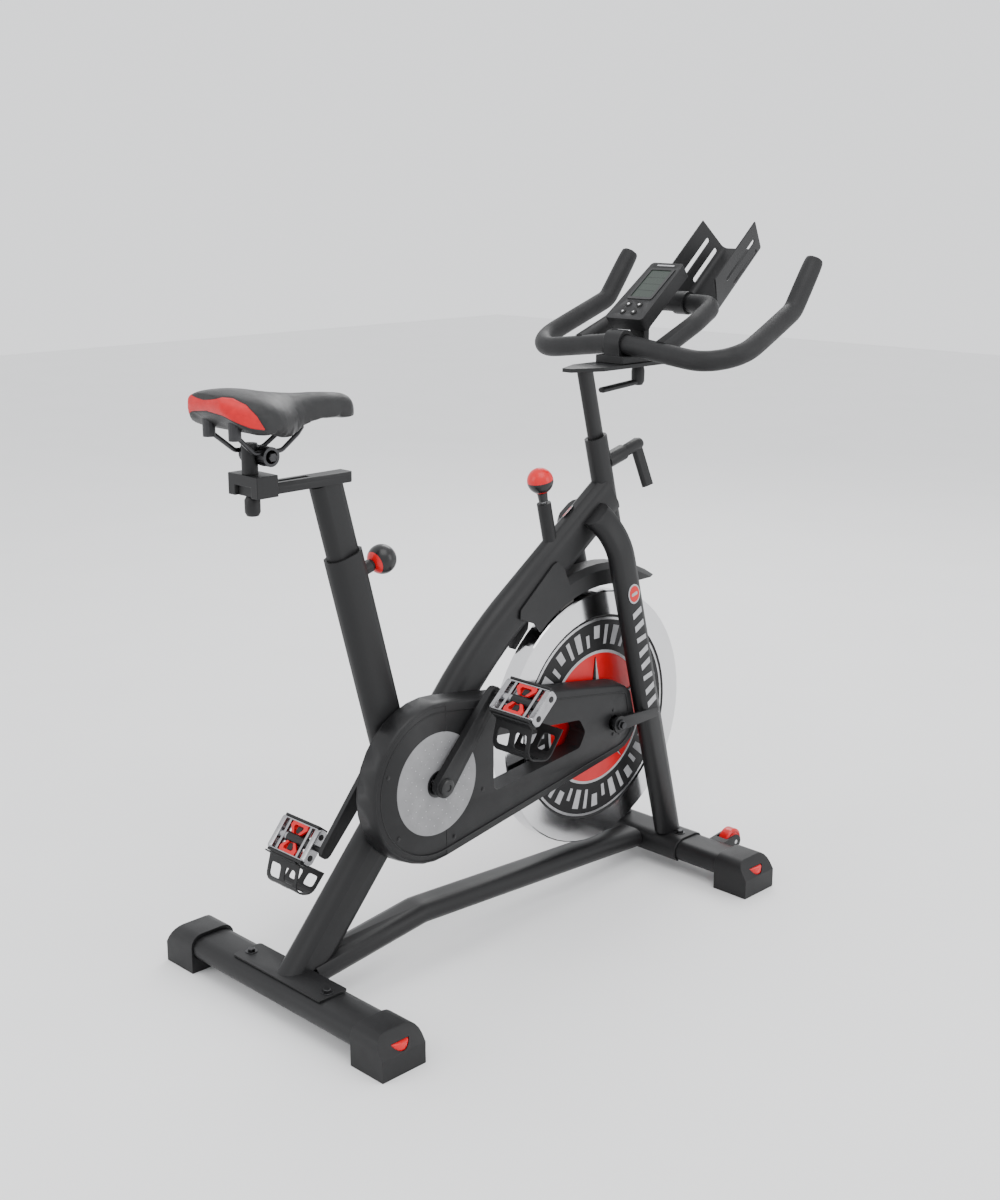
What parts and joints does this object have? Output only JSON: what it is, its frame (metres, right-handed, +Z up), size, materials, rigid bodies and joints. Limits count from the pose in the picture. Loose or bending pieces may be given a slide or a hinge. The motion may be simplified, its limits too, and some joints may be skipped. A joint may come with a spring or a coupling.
{
  "type": "indoor exercise bike",
  "caption": "Upright indoor cycle with a belt-driven flywheel, adjustable saddle and handlebar, toe-cage pedals and a push brake.",
  "frame": {"origin": "on the floor, under the middle of the bounding box", "axes": "+Z up; the rider faces -Y, the rider's right side and the drive side are -X, +Y points to the rear foot"},
  "size_m": [0.536, 1.2038, 1.1676],
  "materials": {
    "alloy": "polished",
    "black_plastic": "matte black",
    "chrome": "mirror polish",
    "cover_plastic": "satin black",
    "felt": "dense felt pad",
    "frame_paint": "satin charcoal powder coat",
    "grip_rubber": "soft matte grip over steel tube",
    "red_plastic": "glossy red",
    "rubber": "matte",
    "saddle_skin": "textured synthetic cover over foam",
    "screen": "grey-green display window",
    "steel": "zinc-plated satin",
    "web_paint": "satin black paint"
  },
  "bodies": {
    "frame": {"rear_stabilizer": "frame_paint", "front_stabilizer": "frame_paint", "rear_cap_right": "black_plastic", "rear_cap_left": "black_plastic", "front_cap_right": "black_plastic", "front_cap_left": "black_plastic", "front_mount_bracket": "frame_paint", "main_tube": "frame_paint", "base_strut": "frame_paint", "seat_tube": "frame_paint", "head_tube": "frame_paint", "fork_leg_right": "frame_paint", "fork_leg_left": "frame_paint", "flywheel_guard": "cover_plastic", "belt_cover_outer": "cover_plastic", "belt_cover_inner": "cover_plastic", "flywheel_axle": "steel", "drive_belt": "rubber", "transport_bracket_right": "black_plastic", "transport_bracket_left": "black_plastic"},
    "flywheel": {"flywheel_rim": "chrome", "flywheel_web": "web_paint", "flywheel_pulley": "steel"},
    "crank": {"drive_pulley": "steel", "crank_arm_right": "black_plastic", "crank_arm_left": "black_plastic"},
    "pedal_right_body": {"pedal_right": "alloy", "toe_cage_right": "black_plastic"},
    "pedal_left_body": {"pedal_left": "alloy", "toe_cage_left": "black_plastic"},
    "seat_post_body": {"seat_post": "frame_paint"},
    "carriage": {"seat_carriage": "frame_paint", "saddle_stem": "frame_paint"},
    "carriage_knob_body": {"carriage_knob": "black_plastic"},
    "saddle": {"saddle_clamp": "steel", "saddle_rails": "steel", "saddle_pad": "saddle_skin"},
    "seat_pin": {"seat_pin_knob": "black_plastic"},
    "bar_post": {"handlebar_post": "frame_paint"},
    "bars": {"handlebar_clamp": "black_plastic", "handlebar": "grip_rubber", "handlebar_loop": "grip_rubber", "console_housing": "black_plastic", "console_screen": "screen", "media_rack": "frame_paint"},
    "slider_lever_body": {"slider_lever": "black_plastic"},
    "post_clamp_body": {"post_clamp_lever": "black_plastic"},
    "brake": {"brake_knob": "red_plastic", "brake_shoe": "felt"},
    "leveler_rear_right_body": {"leveler_rear_right": "red_plastic"},
    "leveler_rear_left_body": {"leveler_rear_left": "red_plastic"},
    "leveler_front_right_body": {"leveler_front_right": "red_plastic"},
    "leveler_front_left_body": {"leveler_front_left": "red_plastic"},
    "transport_right_body": {"transport_wheel_right": "red_plastic"},
    "transport_left_body": {"transport_wheel_left": "red_plastic"},
    "button_1_body": {"console_button_1": "rubber"},
    "button_2_body": {"console_button_2": "rubber"},
    "button_3_body": {"console_button_3": "rubber"},
    "button_4_body": {"console_button_4": "rubber"}
  },
  "joints": [
    {"name": "flywheel_spin", "type": "hinge", "parent": "frame", "child": "flywheel", "pos_m": [0, -0.19535, 0.312], "axis": [1, 0, 0], "continuous": true},
    {"name": "crank_spin", "type": "hinge", "parent": "frame", "child": "crank", "pos_m": [0, 0.23225, 0.3141], "axis": [1, 0, 0], "continuous": true},
    {"name": "pedal_right_spin", "type": "hinge", "parent": "crank", "child": "pedal_right_body", "pos_m": [0, 0.12005, 0.44182], "axis": [1, 0, 0], "continuous": true},
    {"name": "pedal_left_spin", "type": "hinge", "parent": "crank", "child": "pedal_left_body", "pos_m": [0, 0.34445, 0.18638], "axis": [1, 0, 0], "continuous": true},
    {"name": "seat_height", "type": "slide", "parent": "frame", "child": "seat_post_body", "axis": [0, 0.2558, 0.9667], "range_m": [-0.095, 0.1]},
    {"name": "seat_fore_aft", "type": "slide", "parent": "seat_post_body", "child": "carriage", "axis": [0, -1, 0], "range_m": [0, 0.065]},
    {"name": "carriage_knob_turn", "type": "hinge", "parent": "carriage", "child": "carriage_knob_body", "pos_m": [0, 0.52545, 0.8105], "axis": [0, 0, 1], "continuous": true},
    {"name": "saddle_tilt", "type": "hinge", "parent": "carriage", "child": "saddle", "pos_m": [0, 0.51095, 0.867], "axis": [1, 0, 0], "range_deg": [-15, 15]},
    {"name": "seat_pin_pull", "type": "slide", "parent": "frame", "child": "seat_pin", "axis": [0, -0.9667, 0.2558], "range_m": [0, 0.008], "stiffness_N_per_m": 1500, "springref_m": -0.005},
    {"name": "handlebar_height", "type": "slide", "parent": "frame", "child": "bar_post", "axis": [0, 0.2494, 0.9684], "range_m": [-0.07, 0.05]},
    {"name": "handlebar_fore_aft", "type": "slide", "parent": "bar_post", "child": "bars", "axis": [0, -1, 0], "range_m": [-0.012, 0.034]},
    {"name": "slider_lever_turn", "type": "hinge", "parent": "bars", "child": "slider_lever_body", "pos_m": [0, -0.31155, 0.936], "axis": [0, 0, 1], "range_deg": [-80, 80]},
    {"name": "post_clamp_turn", "type": "hinge", "parent": "frame", "child": "post_clamp_body", "pos_m": [0, -0.21522, 0.76314], "axis": [0, -0.9684, 0.2494], "range_deg": [-90, 90]},
    {"name": "brake_push", "type": "slide", "parent": "frame", "child": "brake", "axis": [0, -0.2278, -0.9737], "range_m": [0, 0.0012], "stiffness_N_per_m": 8000, "springref_m": -0.002},
    {"name": "button_1_press", "type": "slide", "parent": "bars", "child": "button_1_body", "axis": [0, -0.5962, -0.8028], "range_m": [0, 0.0008], "stiffness_N_per_m": 500, "springref_m": -0.0006},
    {"name": "button_2_press", "type": "slide", "parent": "bars", "child": "button_2_body", "axis": [0, -0.5962, -0.8028], "range_m": [0, 0.0008], "stiffness_N_per_m": 500, "springref_m": -0.0006},
    {"name": "button_3_press", "type": "slide", "parent": "bars", "child": "button_3_body", "axis": [0, -0.5962, -0.8028], "range_m": [0, 0.0008], "stiffness_N_per_m": 500, "springref_m": -0.0006},
    {"name": "button_4_press", "type": "slide", "parent": "bars", "child": "button_4_body", "axis": [0, -0.5962, -0.8028], "range_m": [0, 0.0008], "stiffness_N_per_m": 500, "springref_m": -0.0006},
    {"name": "transport_right_spin", "type": "hinge", "parent": "frame", "child": "transport_right_body", "pos_m": [-0.1455, -0.43205, 0.0445], "axis": [1, 0, 0], "continuous": true},
    {"name": "transport_left_spin", "type": "hinge", "parent": "frame", "child": "transport_left_body", "pos_m": [0.1455, -0.43205, 0.0445], "axis": [1, 0, 0], "continuous": true},
    {"name": "leveler_rear_right_turn", "type": "hinge", "parent": "frame", "child": "leveler_rear_right_body", "pos_m": [-0.2445, 0.49395, 0.0412], "axis": [0, 0, 1], "continuous": true},
    {"name": "leveler_rear_left_turn", "type": "hinge", "parent": "frame", "child": "leveler_rear_left_body", "pos_m": [0.2445, 0.49395, 0.0412], "axis": [0, 0, 1], "continuous": true},
    {"name": "leveler_front_right_turn", "type": "hinge", "parent": "frame", "child": "leveler_front_right_body", "pos_m": [-0.2445, -0.36005, 0.0412], "axis": [0, 0, 1], "continuous": true},
    {"name": "leveler_front_left_turn", "type": "hinge", "parent": "frame", "child": "leveler_front_left_body", "pos_m": [0.2445, -0.36005, 0.0412], "axis": [0, 0, 1], "continuous": true}
  ],
  "couplings": [
    {"joint": "crank_spin", "follows": "flywheel_spin", "ratio": 0.25}
  ]
}
